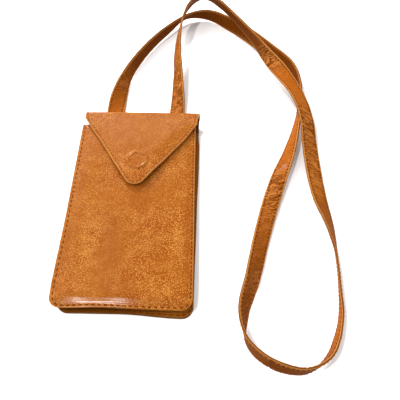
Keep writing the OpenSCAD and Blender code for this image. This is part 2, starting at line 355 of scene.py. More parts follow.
def waxed_thread(name, dark, light):
    """Twisted thread, its plies at a slant."""
    finish, dye, where, shader = start_finish(name)
    plies = dye.node("TexWave", {"bands_direction": "DIAGONAL"},
                     {"Vector": where, "Scale": 900.0, "Distortion": 1.0})
    coat(shader, plies.tint(dark, light), 0.66 + plies * 0.15)
    shader.inputs["Specular IOR Level"].default_value = 0.03
    relief(dye, shader, 0.4, 0.0001, plies)
    return finish


def pressed_board(name, dark, light):
    """Stiffener board with short fibres."""
    finish, dye, where, shader = start_finish(name)
    fibres = cloud(dye, where, 0.0012, 4.0, 0.7)
    coat(shader, fibres.between(0.35, 0.65).tint(dark, light), 0.85 + fibres * 0.1)
    return finish


def polished_nickel(name):
    """Pressed nickel plate with fine rub marks."""
    finish, dye, where, shader = start_finish(name)
    smear = cloud(dye, where, 0.004, 3.0, 0.6)
    rub = cloud(dye, dye.node("Mapping", None, {"Vector": where, "Scale": (1.0, 12.0, 1.0)}),
                0.002, 2.0)
    into(smear.between(0.3, 0.7).tint((0.62, 0.6, 0.56), (0.74, 0.72, 0.69)), shader, "Base Color")
    shader.inputs["Metallic"].default_value = 1.0
    into(0.16 + smear * 0.12 + rub * 0.08, shader, "Roughness")
    return finish


def ferrite(name):
    finish, dye, where, shader = start_finish(name)
    dust = cloud(dye, where, 0.0006, 3.0)
    coat(shader, dust.tint((0.035, 0.035, 0.038), (0.08, 0.08, 0.085)), 0.55 + dust * 0.2)
    return finish


TAN = grain_leather("tan_leather", (0.2, 0.042, 0.0015), (0.226, 0.058, 0.0022), (0.46, 0.2, 0.036),
                    0.4, 0.1, 0.00125,
                    calm=[(-14, -52, 10, 50, 0), (4, 4, 16, 18, 0), (46, -30, 4, 60, 0), (-46, 20, 4, 30, 0),
                          (-6, 66, 56, 30, 0), (2, -78, 14, 12, 0), (-50, -40, 3, 30, 0), (0, 37, 10, 9, 0)],
                    lively=[(-34, -34, 10, 60, 0), (24, -78, 26, 12, 0), (36, -34, 9, 36, 0),
                            (45.8, 93.8, 2, 2, 0)],
                    # A painted sheen on the flap's top.
                    painted_sheen=[(-4, 64, 58, 34, 0)])
# Its last colour is the painted shade on the strap's darker lengths and in its crease lines.
STRAP = grain_leather("strap_leather", (0.21, 0.044, 0.0012), (0.25, 0.062, 0.002), (0.46, 0.18, 0.045),
                      0.4, 0.02, 0.00115, painted_shade=(0.095, 0.021, 0.0004))
# The side strip gets painted shade at its lower left end.
SIDE = grain_leather("side_leather", (0.2, 0.056, 0.003), (0.28, 0.085, 0.007), (0.4, 0.16, 0.03),
                     0.5, 0.01, 0.0014, foot=(0.1, 0.029, 0.001))
RAW = raw_edge("cut_edge", (0.75, 0.4, 0.13), (0.5, 0.22, 0.055))
WORN = raw_edge("worn_rim", (0.4, 0.17, 0.045), (0.29, 0.095, 0.014))
RUBBED = raw_edge("rubbed_edge", (0.42, 0.18, 0.045), (0.26, 0.085, 0.012))
GLUED = raw_edge("glued_edge", (0.15, 0.045, 0.005), (0.08, 0.023, 0.002))
DARK_EDGE = raw_edge("dyed_edge", (0.17, 0.07, 0.02), (0.07, 0.025, 0.007))
SPLIT = split_leather("split_leather", (0.42, 0.2, 0.08), (0.6, 0.34, 0.16))
# The root's inner faces are painted dark: painted shade inside the fold, under the flap.
ROOT_INNER_SHADE = split_leather("root_inner_painted_shade", (0.08, 0.024, 0.004), (0.13, 0.042, 0.008), 0.02)
LINING = lining_weave("lining_weave", (0.12, 0.065, 0.035), (0.26, 0.16, 0.095))
THREAD = waxed_thread("brown_thread", (0.1, 0.02, 0.001), (0.17, 0.04, 0.002))
# Strap thread: the dark one stands for the needle holes' painted shade, the light one lies on the lengths
# with painted shade.
STRAP_THREAD = waxed_thread("strap_thread", (0.045, 0.011, 0.001), (0.09, 0.024, 0.003))
LIGHT_STRAP_THREAD = waxed_thread("light_strap_thread", (0.22, 0.075, 0.016), (0.38, 0.15, 0.045))
TAN_THREAD = waxed_thread("tan_thread", (0.22, 0.08, 0.012), (0.36, 0.15, 0.035))
# Needle holes: dark ovals at the stitch ends, painted shade in the holes.
HOLE = raw_edge("needle_hole", (0.08, 0.023, 0.003), (0.04, 0.011, 0.001))
BOARD = pressed_board("stiffener_board", (0.36, 0.3, 0.22), (0.5, 0.43, 0.32))
NICKEL = polished_nickel("polished_nickel")
FERRITE = ferrite("magnet_ferrite")


# ---- small sums

def ramp(value, low, high):
    share = min(1.0, max(0.0, (value - low) / (high - low)))
    return share * share * (3 - 2 * share)


def bell(value, width):
    return math.exp(-(value / width) ** 2)


def drift(x, y, z):
    """Smooth noise to both sides of 0."""
    return noise.noise(Vector((x, y, z)))


# ---- handling of pieces

def new_piece(name, points, faces):
    mesh = bpy.data.meshes.new(name)
    mesh.from_pydata(points, [], faces)
    piece = bpy.data.objects.new(name, mesh)
    bpy.context.scene.collection.objects.link(piece)
    return piece


def dress(piece, finishes):
    piece.data.materials.clear()
    for finish in finishes:
        piece.data.materials.append(finish)


def take_up(piece):
    """Makes the piece the only one that operators work on."""
    bpy.ops.object.select_all(action="DESELECT")
    piece.select_set(True)
    bpy.context.view_layer.objects.active = piece


def to_mode(name):
    bpy.ops.object.mode_set(mode=name)


def on_all_faces(operator, **options):
    to_mode("EDIT")
    bpy.ops.mesh.select_all(action="SELECT")
    operator(**options)
    to_mode("OBJECT")


def smooth_and_leave(piece, angle):
    bpy.ops.object.shade_smooth_by_angle(angle=math.radians(angle))
    piece.select_set(False)


def close_up(piece, finishes, angle):
    """Finishes, normals turned outwards and smooth shading."""
    dress(piece, finishes)
    take_up(piece)
    on_all_faces(bpy.ops.mesh.normals_make_consistent, inside=False)
    smooth_and_leave(piece, angle)


def thicken(piece, thickness, angle, **settings):
    """Gives a sheet that is taken up its thickness in mm."""
    solid = piece.modifiers.new("thickness", "SOLIDIFY")
    solid.thickness = thickness * mm
    for key, value in settings.items():
        setattr(solid, key, value)
    bpy.ops.object.modifier_apply(modifier=solid.name)
    smooth_and_leave(piece, angle)


def ready(piece, body, slot, *nodes):
    """Hides the carried-over nodes that the piece stands for, and hangs the piece on its body if it has one.
    """
    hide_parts(*nodes)
    if body:
        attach(piece, body)


def map_hide(mesh, places):
    """Keeps where each point lay in the flat hide, in metres, for the grain."""
    layer = mesh.uv_layers.new(name="hide")
    for loop in mesh.loops:
        layer.data[loop.index].uv = places[loop.vertex_index]


# ---- strap

# The strap's middle line, set over the photograph: x, y and z in mm, roll in degrees
ROUTE_LEFT = [
    (-30, 81, 1.2, 0), (-30, 91, 1.2, 0), (-29, 109, 2.3, 5), (-27, 127, 5.6, 35),
    (-22, 150, 8, 65), (-13, 175, 8, 80), (1, 201, 8.5, 90), (18, 225, 8.5, 102),
    (37, 245, 9.5, 122), (60, 249, 8.5, 98), (82, 236, 8, 70), (104, 217, 7.5, 50),
    (126, 192, 7.5, 50), (145, 168, 8, 75), (152, 143, 8.5, 90), (150, 115, 8.5, 85),
    (144, 88, 8, 70), (135, 58, 7, 45), (124, 29, 6.5, 15), (114, -1, 5, -10),
    (105, -33, 5.5, -25), (97, -65, 7, -35), (89, -93, 8, -56),
]
ROUTE_LAP = [(91, -115, 9, -90), (107, -130, 9.5, -100), (130, -135, 9.5, -93), (149, -124, 9, -80)]
ROUTE_RIGHT = [
    (160, -99, 8, -90), (163, -73, 8, -102), (164, -46, 8, -108), (162, -19, 8, -130),
    (158, 9, 5, -155), (156, 37, 4.5, -165), (154, 63, 10, -165), (152, 89, 18, -160),
    (146, 115, 21, -165), (135, 143, 20, -190), (121, 169, 20, -240), (107, 195, 22, -268),
    (91, 220, 24, -282), (73, 244, 26, -287), (54, 258, 27, -290), (38, 239, 26, -287),
    (31, 211, 23, -285), (29, 183, 18, -295), (30, 155, 12, -305), (31, 129, 6.5, -325),
    (31, 109, 2.6, -350), (30, 91, 1.2, -360), (30, 81, 1.2, -360),
]
STEPS = 18


def between_rows(a, b, c, d, t):
    """A point on the smooth curve between rows b and c."""
    return [(2 * q + (r - p) * t + (2 * p - 5 * q + 4 * r - s) * t * t
             + (3 * q - p - 3 * r + s) * t ** 3) / 2 for p, q, r, s in zip(a, b, c, d)]


def strap_rows(route):
    """Places of the strap's middle line in metres, with the roll and the route's own step."""
    rows = []
    for i in range(1, len(route) - 2):
        for j in range(STEPS):
            rows.append((*between_rows(*route[i - 1:i + 3], j / STEPS), i + j / STEPS))
    rows.append((*map(float, route[-2]), len(route) - 2.0))
    return [(Vector(r[:3]) * mm, math.radians(r[3]), r[4]) for r in rows]


def strap_frames(route):
    """Place, direction across, face normal, run from the start and route step of each ring."""
    rows = strap_rows(route)
    frames, run = [], 0.0
    for i, (place, roll, step) in enumerate(rows):
        ahead = rows[min(i + 1, len(rows) - 1)][0] - rows[max(i - 1, 0)][0]
        travel = ahead.normalized()
        left = Vector((-travel.y, travel.x, 0)).normalized()
        across = math.cos(roll) * left + math.sin(roll) * travel.cross(left)
        if i:
            run += (place - rows[i - 1][0]).length
        frames.append((place, across, travel.cross(across).normalized(), run, step))
    return frames


# In mm from the middle line: the edge, the seams, where the faces turn down, where rim and glue begin
STRAP_EDGE = 7.5
STRAP_SEAM = 5.4
FACE_END = 6.6
RIM_START = 6.3
GLUE_START = 7.4
# Half of the thickness in mm, and how much stronger the creases' painted shade and light are than their bend
# of the strap
STRAP_HALF = 0.9
CREASE_GAIN = 3.0
SECTION = [-7.5, -7.36, -7.0, -6.4, -5.8, -5.3, -4.7, -3.7, -2.0, 0.0,
           2.0, 3.7, 4.7, 5.3, 5.8, 6.4, 7.0, 7.36, 7.5]


def strap_face(across):
    """Height of a face over the middle of the strap: rolled edges, a sunk seam and a soft crown."""
    side = abs(across)
    height = STRAP_HALF
    if side > FACE_END:
        turned = (side - FACE_END) / (STRAP_EDGE + 0.001 - FACE_END)
        height = STRAP_HALF * math.sqrt(max(0.0, 1 - turned ** 2))
    height -= 0.17 * bell(side - STRAP_SEAM, 0.55)
    height += 0.1 * (1 - (side / STRAP_EDGE) ** 2)
    return height


def strap_waves(run, across, creased):
    """How far the strap's own folds move it off its middle line, in mm."""
    run = run / mm
    slow = drift(run / 38, across / 40, 3.7)
    fine = drift(run / 9 + 0.12 * across, across / 16, 8.1)
    lines = drift(run / 3.2 + 0.16 * across, across / 9, 14.2)
    strength = 0.16 + 0.22 * ramp(slow, 0.0, 0.4) + creased(run)
    return 0.25 * slow + strength * (0.6 * fine + 0.5 * lines)


def spread(step, wide_end):
    """The left length is cut a little wider where it is sewn in."""
    return 1 + 0.12 * (1 - ramp(step, 2.6, 4.5)) if wide_end else 1.0


def on_strap(frame_row, side, scale, creased, wide_end):
    """A point on one face of the strap, at that many mm from its middle line."""
    place, across, normal, run, step = frame_row
    height = scale(step) * strap_face(side) + strap_waves(run, side, creased)
    return place + across * (side * spread(step, wide_end) * mm) + normal * (height * mm)


def strap_length(name, route, node, lows, highs, creased, painted_shade):
    """One length of the strap: lows and highs scale its two faces at each ring."""
    frames = strap_frames(route)
    points, faces = [], []
    turns = SECTION + SECTION[-2:0:-1]
    size = len(turns)
    for frame_row in frames:
        for j, side in enumerate(turns):
            scale = highs if j < len(SECTION) else lows
            points.append(on_strap(frame_row, side, scale, creased, route[0][0] < 0))
    for i in range(len(frames) - 1):
        for j in range(size):
            a, b = i * size + j, i * size + (j + 1) % size
            faces.append((a, b, b + size, a + size))
    last = (len(frames) - 1) * size
    faces.append(tuple(reversed(range(size))))
    faces.append(tuple(range(last, last + size)))
    piece = new_piece(name, points, faces)
    close_up(piece, [STRAP, RUBBED, GLUED], angle=50)
    mesh = piece.data
    for label, amount, gain in (("creased", creased, CREASE_GAIN), ("painted_shade", painted_shade, 1.0)):
        layer = mesh.attributes.new(label, "FLOAT", "POINT")
        for i, frame_row in enumerate(frames):
            value = min(1.0, amount(frame_row[3] / mm) * gain)
            for j in range(size):
                layer.data[i * size + j].value = value
    map_hide(mesh, [(turns[i % size] * mm, frames[i // size][3]) for i in range(len(points))])
    for face in mesh.polygons:
        across = [abs(turns[k % size]) for k in face.vertices]
        if len(across) == 4 and min(across) > RIM_START:
            face.material_index = 2 if max(across) > GLUE_START else 1
    ready(piece, "pouch", "strap_leather", node)
    return piece, frames


# ---- stitches

def stitch_form():
    """One stitch, 1 long and 1 wide: its points and faces, modelled once."""
    bpy.ops.mesh.primitive_uv_sphere_add(segments=8, ring_count=6, radius=0.5)
    form = bpy.context.object
    for corner in form.data.vertices:
        corner.co = (corner.co.z, corner.co.y, corner.co.x)
    points = [corner.co.copy() for corner in form.data.vertices]
    faces = [tuple(face.vertices) for face in form.data.polygons]
    bpy.data.objects.remove(form)
    return points, faces


STITCH = stitch_form()


def sew(name, places, long, wide, sunk, body="pouch", holes=True, thread=THREAD):
    """A run of stitches. places: (middle, direction, normal) of each; the sizes are in mm."""
    long, wide, sunk = long * mm, wide * mm, sunk * mm
    points, faces, marks = [], [], []

    def stamp(middle, along, up, size, mark):
        side = up.cross(along).normalized()
        along = side.cross(up).normalized()
        first = len(points)
        for p in STITCH[0]:
            bow = (1 - (2 * p.x) ** 2) * 0.3 * size[2]
            points.append(middle + along * (p.x * size[0]) + side * (p.y * size[1])
                          + up * (p.z * size[2] + bow))
        for face in STITCH[1]:
            faces.append(tuple(first + k for k in face))
            marks.append(mark)

    for middle, along, up in places:
        stamp(middle - up * sunk, along, up, (long, wide, wide * 0.75), 0)
        # Dark ovals at both ends of the stitch: painted shade in the needle holes.
        if holes:
            for end in (-0.5, 0.5):
                stamp(middle + along * (end * long * 0.96) - up * (0.2 * wide), along, up,
                      (wide * 1.15, wide, wide * 0.5), 1)
    piece = new_piece(name, points, faces)
    close_up(piece, [thread, HOLE], angle=80)
    piece.data.polygons.foreach_set("material_index", marks)
    if body:
        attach(piece, body)
    return piece


def even_places(line, pitch, margin=0.0):
    """Even places along a line of (point, normal) pairs: point, direction, normal; pitch and margin in mm."""
    pitch, margin = pitch * mm, margin * mm
    runs = [0.0]
    for (a, _), (b, _) in zip(line, line[1:]):
        runs.append(runs[-1] + (b - a).length)
    total = runs[-1] - 2 * margin
    count = max(2, round(total / pitch))
    found, k = [], 0
    for i in range(count):
        run = margin + (i + 0.5) * total / count
        while k < len(runs) - 2 and runs[k + 1] < run:
            k += 1
        t = (run - runs[k]) / max(1e-9, runs[k + 1] - runs[k])
        (a, n), (b, m) = line[k], line[k + 1]
        found.append((a.lerp(b, t), (b - a).normalized(), n.lerp(m, t).normalized()))
    return found


def strap_seam(name, frames, lows, highs, creased, painted_shade):
    """Two runs of stitches on each face of a length of the strap: light thread on the lengths with painted
    shade, dark thread elsewhere, as painted shade of the needle holes.
    """
    places, light = [], []
    for side in (-STRAP_SEAM, STRAP_SEAM):
        for face, scale in ((1, highs), (-1, lows)):
            line = [(on_strap(row, side, scale, creased, frames[0][0].x < 0), row[2] * face)
                    for row in frames]
            found = even_places(line, 3.4, 1.5)
            places += found
            light += [painted_shade((i + 0.5) / len(found) * frames[-1][3] / mm) > 0.6 for i in range(len(found))]
    piece = sew(name, places, 1.6, 1.15, 0.1, holes=False, thread=STRAP_THREAD)
    piece.data.materials.append(LIGHT_STRAP_THREAD)
    faces = len(STITCH[1])
    piece.data.polygons.foreach_set("material_index", [2 if on else 0 for on in light for _ in range(faces)])
    return piece


# Route step where the left length's lap begins, and the play between the lap's halves
LAP_START = len(ROUTE_LEFT) + 1.0
LAP_GAP = 0.06


def left_low(step):
    """The left length ends on top of the lap, with half the thickness."""
    return -1.0 if step < LAP_START else LAP_GAP


def right_high(step):
    return 1.0 if step > 2.0 else -LAP_GAP


# How strongly each length is creased along its run; the creases carry painted shade in their lines and
# painted light between them.
def left_creases(run):
    return 0.04 + 0.12 * bell(run - 52, 12) + 0.3 * bell(run - 474, 26) + 0.1 * bell(run - 560, 40)


def right_creases(run):
    return (0.42 * bell(run - 592, 42) + 0.4 * bell(run - 350, 15) + 0.3 * bell(run - 262, 16)
            + 0.24 * bell(run - 215, 32) + 0.03)


def left_painted_shade(run):
    """Painted shade: the arch over the pouch and the lowest part look dark in the photograph."""
    return ramp(run, 25, 85) * (1 - ramp(run, 345, 395)) + 0.75 * ramp(run, 490, 590)


# Painted shade on parts of the right length.
def right_painted_shade(run):
    return (0.9 * (1 - ramp(run, 25, 70)) + 0.45 * bell(run - 165, 30)
            + ramp(run, 332, 358) * (1 - ramp(run, 480, 535)))


LEFT_FORM = (left_low, lambda step: 1.0, left_creases, left_painted_shade)
RIGHT_FORM = (lambda step: -1.0, right_high, right_creases, right_painted_shade)
strap_left, frames_left = strap_length("strap_left", ROUTE_LEFT + ROUTE_LAP, "strap_left_length", *LEFT_FORM)
strap_right, frames_right = strap_length("strap_right", ROUTE_LAP + ROUTE_RIGHT, "strap_right_length",
                                         *RIGHT_FORM)
seam_left = strap_seam("strap_left_stitches", frames_left, *LEFT_FORM)
seam_right = strap_seam("strap_right_stitches", frames_right, *RIGHT_FORM)
[f[0] for f in frames_left[::3]] + [frames_left[-1][0]]
[frames_right[-1][0]] + [f[0] for f in frames_right[::-3]][1:] + [frames_right[0][0]]


# ---- the pouch's own measures

front_low, front_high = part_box("front_panel")
flap_low, flap_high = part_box("flap")
HALF = front_high.x / mm
FOOT = front_low.y / mm
MOUTH = front_high.y / mm
FRONT_TOP = front_high.z / mm
BACK_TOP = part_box("back_panel")[1].y / mm
FOLD = flap_high.y / mm
TIP = flap_low.y / mm
FLAP_TOP = 18.5
CORNER = 9.0
LEATHER = 1.2
SNAP_Y = 38.0
SIDE_LEATHER = 0.95
INNER_LEATHER = 0.45
CLOTH = 0.35
LAYER_GAP = 0.05
INNER_INSET = 0.6
# How far the seams lie from their edges, and the height of the lower seam lip's upper face
BODY_SEAM = 2.9
FLAP_SEAM = 2.2
MOUTH_SEAM = 2.6
LIP_SEAM = 1.7
LIP_HEIGHT = 2.25
WORN_WIDTH = 0.64
# The snap's print in the flap: its round edge and the start of its hollow
PRINT_RADIUS = 10.7
HOLLOW_RADIUS = 7.6


def lie(point):
    """How the empty pouch lies: the front slid to the left over the back, its lower left corner flat."""
    x, y, z = point[0] / mm, point[1] / mm, point[2] / mm
    share = z / FRONT_TOP
    right = ramp(x, 0, 50)
    corner = ramp(-x, -30, 50) * ramp(-y, 5, 95)
    low_edge = ramp(-y, 50, 95)
    z *= 1 - 0.22 * corner
    x -= (2.9 + 2.4 * corner) * share
    x += 1.4 * ramp(-y, -60, 80) * right * share
    x += (0.9 * ramp(y, 0, 45) * (1 - ramp(y, 66, 80)) - 0.9 * ramp(-y, 0, 90)) * right * (1 - share)
    y += (2.0 * ramp(share, 0.2, 0.5) - 0.8 * ramp(share, 0.7, 0.95)) * ramp(y, 40, MOUTH)
    y += low_edge * (2.3 + 0.7 * bell(x + 20, 18) - 1.2 * ramp(x, -30, 50)) * share
    y += low_edge * (0.9 - 2.9 * ramp(x, -5, 44)) * (1 - share)
    return Vector((x, y, z)) * mm


def laid(x, y, z):
    """The same for a place in mm."""
    return lie(Vector((x, y, z)) * mm)


def side_path(inset, top=MOUTH):
    """Down the left side, round the bottom and up the right: (x, y, outward x, outward y) in mm."""
    path = []
    drop = top - (FOOT + CORNER)
    steps = round(drop / 3)
    for i in range(steps):
        path.append((-HALF, top - drop * i / steps, -1, 0))
    for i in range(9):
        a = math.radians(180 + 90 * i / 8)
        path.append((-HALF + CORNER + CORNER * math.cos(a), FOOT + CORNER + CORNER * math.sin(a),
                     math.cos(a), math.sin(a)))
    span = 2 * (HALF - CORNER)
    for i in range(1, 29):
        path.append((-HALF + CORNER + span * i / 29, FOOT, 0, -1))
    path += [(-x, y, -nx, ny) for x, y, nx, ny in reversed(path[:steps + 9])]
    return [(x - inset * nx, y - inset * ny, nx, ny) for x, y, nx, ny in path]


def distance_to(line, x, y):
    """Shortest way from a point to a line of points."""
    best = 1e9
    for (ax, ay), (bx, by) in zip(line, line[1:]):
        ex, ey = bx - ax, by - ay
        t = ((x - ax) * ex + (y - ay) * ey) / max(1e-12, ex * ex + ey * ey)
        t = min(1.0, max(0.0, t))
        best = min(best, math.hypot(x - ax - t * ex, y - ay - t * ey))
    return best


# ---- flat patterns and their shaping

def select_none(pattern):
    for part in (pattern.data.vertices, pattern.data.edges, pattern.data.polygons):
        for item in part:
            item.select = False


def cut_pattern(name, low, high, slants, corners, rings, cell, fine=None):
    """A flat pattern, in mm: a rectangle cut along slants, its corners rounded, rings along its edge and
    a grid over all.

    fine: (x, y, radius) of a place that gets a closer grid."""
    bpy.ops.object.select_all(action="DESELECT")
    middle = ((low[0] + high[0]) / 2 * mm, (low[1] + high[1]) / 2 * mm, 0)
    bpy.ops.mesh.primitive_plane_add(size=1, location=middle)
    pattern = bpy.context.object
    pattern.name = pattern.data.name = name
    pattern.scale = ((high[0] - low[0]) * mm, (high[1] - low[1]) * mm, 1)
    bpy.ops.object.transform_apply(location=True, rotation=False, scale=True)
    to_mode("EDIT")
    bpy.ops.mesh.select_mode(type="VERT")
    for (x, y), (nx, ny) in slants:
        bpy.ops.mesh.select_all(action="SELECT")
        bpy.ops.mesh.bisect(plane_co=(x * mm, y * mm, 0), plane_no=(nx, ny, 0), clear_outer=True,
                            threshold=0.00001)
    for x, y, cut, segments, middle, radius in corners:
        to_mode("OBJECT")
        select_none(pattern)
        nearest = min(pattern.data.vertices, key=lambda v: (v.co - Vector((x * mm, y * mm, 0))).length)
        nearest.select = True
        to_mode("EDIT")
        bpy.ops.mesh.bevel(offset=cut * mm, segments=segments, affect="VERTICES", profile=0.5)
        to_mode("OBJECT")
        centre = Vector((middle[0] * mm, middle[1] * mm, 0))
        for v in [v for v in pattern.data.vertices if v.select]:
            v.co = centre + (v.co - centre).normalized() * (radius * mm)
        to_mode("EDIT")
    bpy.ops.mesh.select_mode(type="FACE")
    bpy.ops.mesh.select_all(action="SELECT")
    for step in rings:
        bpy.ops.mesh.inset(thickness=step * mm, depth=0)
    for axis in (0, 1):
        count = round((high[axis] - low[axis]) / cell)
        for i in range(1, count):
            place, normal = [0, 0, 0], [0, 0, 0]
            place[axis] = (low[axis] + (high[axis] - low[axis]) * i / count) * mm
            normal[axis] = 1
            bpy.ops.mesh.select_all(action="SELECT")
            bpy.ops.mesh.bisect(plane_co=place, plane_no=normal, threshold=0.00002)
    to_mode("OBJECT")
    if fine:
        select_none(pattern)
        for face in pattern.data.polygons:
            face.select = (face.center - Vector((fine[0], fine[1], 0)) * mm).length < fine[2] * mm
        to_mode("EDIT")
        bpy.ops.mesh.subdivide(number_cuts=2)
        to_mode("OBJECT")
    return pattern


def press(pattern, shape, thickness, finishes, flip=False):
    """Shapes a flat pattern point by point and gives it its thickness, away from the outer face."""
    for layer in list(pattern.data.uv_layers):
        pattern.data.uv_layers.remove(layer)
    map_hide(pattern.data, [corner.co.xy[:] for corner in pattern.data.vertices])
    for corner in pattern.data.vertices:
        corner.co = shape(corner.co.x / mm, corner.co.y / mm)
    take_up(pattern)
    if flip:
        on_all_faces(bpy.ops.mesh.flip_normals)
    dress(pattern, finishes)
    thicken(pattern, thickness, angle=40, offset=-1, material_offset=2 if len(finishes) > 2 else 0,
            material_offset_rim=1 if len(finishes) > 1 else 0)


def wear_rim(piece, outline, finish):
    """Gives the outermost ring of the outer face its lighter colour."""
    piece.data.materials.append(finish)
    hide = piece.data.uv_layers["hide"].data
    for face in piece.data.polygons:
        if face.material_index == 0:
            x = sum(hide[k].uv.x for k in face.loop_indices) / len(face.loop_indices) / mm
            y = sum(hide[k].uv.y for k in face.loop_indices) / len(face.loop_indices) / mm
            if distance_to(outline, x, y) < WORN_WIDTH:
                face.material_index = len(piece.data.materials) - 1


def foot_corners(left, right, foot, radius, segments=8):
    """The two round corners at the foot of a pattern."""
    return [(left, foot, radius, segments, (left + radius, foot + radius), radius),
            (right, foot, radius, segments, (right - radius, foot + radius), radius)]


SIDE_LINE = [(x, y) for x, y, _, _ in side_path(0)]
BACK_LINE = [(x, y) for x, y, _, _ in side_path(0, BACK_TOP)]
EDGE_RINGS = (0.25, 0.4, 0.75, 0.8, 0.7, 0.6, 0.8, 1.2, 1.4)


# ---- front and back

def front_height(x, y):
    """Outer face of the front: flat over its board, falling to the seam, with soft waves."""
    side = distance_to(SIDE_LINE, x, y)
    edge = min(side, MOUTH - y)
    height = FRONT_TOP - 0.4 * (1 - ramp(edge, 0, 0.7))
    height -= 0.16 * bell(side - BODY_SEAM, 0.75)
    height -= 0.2 * bell(MOUTH - y - MOUTH_SEAM, 0.7)
    low_side = ramp(-y, 70, 90)
    reach = 5.5 + low_side * (8.5 - 1.5 * ramp(x, -40, 0))
    height -= (0.02 - low_side * (0.0125 - 0.0045 * ramp(x, -30, 0))) * max(0.0, reach - max(side, 1.8)) ** 2
    height += 0.4 * ramp(side, 4, 11) * ramp(math.hypot(x, y - SNAP_Y), 14, 34)
    height += 0.9 * bell(x + 34, 16) * bell(FOOT + 12 - y, 8)
    calm = ramp(side, 5, 16) * ramp(math.hypot(x, y - SNAP_Y), 12, 26)
    height += calm * 0.55 * drift(x / 26, y / 42, 1.3)
    height += calm * 0.16 * drift(x / 9, y / 11, 5.1)
    return height


front = cut_pattern("front_leather", (-HALF, FOOT), (HALF, MOUTH), [],
                    foot_corners(-HALF, HALF, FOOT, CORNER), EDGE_RINGS, 2.5)
press(front, lambda x, y: laid(x, y, front_height(x, y)), LEATHER, [TAN, RAW, SPLIT])
wear_rim(front, SIDE_LINE + [(-HALF, MOUTH)], WORN)
ready(front, "pouch", "tan_leather", "front_panel")


def back_height(x, y):
    """Outer face of the back, on the table."""
    side = distance_to(BACK_LINE, x, y)
    edge = min(side, BACK_TOP - y)
    height = 0.35 * (1 - ramp(edge, 0, 0.7)) + 0.2 * bell(side - BODY_SEAM, 0.7)
    height += 0.2 * max(0.0, drift(x / 24, y / 36, 9.3))
    return height


back = cut_pattern("back_leather", (-HALF, FOOT), (HALF, BACK_TOP), [],
                   foot_corners(-HALF, HALF, FOOT, CORNER), EDGE_RINGS[:7], 3.5)
# The back's cut edges take the dark edge colour: dyed edges, with painted shade along the lower outline.
press(back, lambda x, y: laid(x, y, back_height(x, y)), LEATHER, [TAN, DARK_EDGE, SPLIT], flip=True)
ready(back, "pouch", "tan_leather", "back_panel")


def inner_layer(name, node, finishes, slot):
    """A board or lining inside the pouch, between the faces of its solid."""
    low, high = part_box(node)
    under = low.z / mm
    thick = (high.z - low.z) / mm
    corners = []
    if low.y / mm < FOOT + 20:
        corners = foot_corners(low.x / mm, high.x / mm, low.y / mm, 2.4, 4)
    layer = cut_pattern(name, (low.x / mm, low.y / mm), (high.x / mm, high.y / mm), [], corners,
                        (0.4, 0.6), 6)
    press(layer, lambda x, y: laid(x, y, under + thick), thick, finishes)
    ready(layer, "pouch", slot, node)


inner_layer("front_stiffener", "front_board", [BOARD], "stiffener_board")
inner_layer("front_cloth", "front_lining", [LINING], "lining_cloth")
inner_layer("back_stiffener", "back_board", [BOARD], "stiffener_board")
inner_layer("back_cloth", "back_lining", [LINING], "lining_cloth")
inner_layer("mouth_strip", "mouth_facing", [SPLIT, RAW], "inner_leather")


# ---- side strip

def bent_strip(name, profile, thickness, top, finishes):
    """A strip that follows the sides and the bottom; profile: its (inset, height) in mm."""
    stations = side_path(0, top)
    points, faces, hide = [], [], []
    for k, (x, y, nx, ny) in enumerate(stations):
        pucker = 0.25 * drift(k / 3.1, 0.4, 2.2)
        for inset, height in profile:
            deep = inset + (pucker + 0.5 * drift(x / 30, y / 30, 4.4)) * ramp(inset, 4.6, 6.2)
            points.append(laid(x - deep * nx, y - deep * ny, height))
            hide.append(((height - 2 * inset) * mm, (x * ny - y * nx) * mm))
    width = len(profile)
    for i in range(len(stations) - 1):
        for j in range(width - 1):
            a = i * width + j
            faces.append((a, a + 1, a + width + 1, a + width))
    strip = new_piece(name, points, faces)
    map_hide(strip.data, hide)
    dress(strip, finishes)
    take_up(strip)
    thicken(strip, thickness, angle=50, offset=0, use_even_offset=True, material_offset_rim=1)
    return strip


SIDE_PROFILE = [(0.25, 11.3), (1.5, 11.3), (3.0, 11.3), (4.2, 11.2), (5.1, 10.8), (5.7, 10.0), (6.0, 8.7),
                (6.5, 6.6), (6.0, 4.5), (5.7, 3.2), (5.1, 2.4), (4.2, 2.0), (3.0, 1.8), (1.5, 1.75),
                (0.25, 1.75)]
CLOTH_PROFILE = [(6.2, 10.5), (6.7, 9.8), (6.9, 8.5), (7.4, 6.6), (6.9, 4.7), (6.7, 3.4), (6.2, 2.7)]
side = bent_strip("side_strip", SIDE_PROFILE, SIDE_LEATHER, MOUTH, [SIDE, DARK_EDGE])
ready(side, "pouch", "dark_leather", "gusset")
side_cloth = bent_strip("side_cloth", CLOTH_PROFILE, CLOTH, MOUTH - LEATHER, [LINING, LINING])
ready(side_cloth, "pouch", "lining_cloth", "gusset_lining")


# ---- flap, spine and root

UPPER_BEND = 4.2
LOWER_BEND = 3.0
ROOT_UNDER = 2.6
SPINE_LENGTH = FLAP_TOP - UPPER_BEND - ROOT_UNDER - LOWER_BEND
UPPER_START = FOLD - UPPER_BEND
SPINE_START = UPPER_START + UPPER_BEND * math.pi / 2
LOWER_START = SPINE_START + SPINE_LENGTH
ROOT_START = LOWER_START + LOWER_BEND * math.pi / 2
ROOT_LENGTH = FOLD - LOWER_BEND - MOUTH - 0.4
SEAM_PLACE = SPINE_START + SPINE_LENGTH / 2


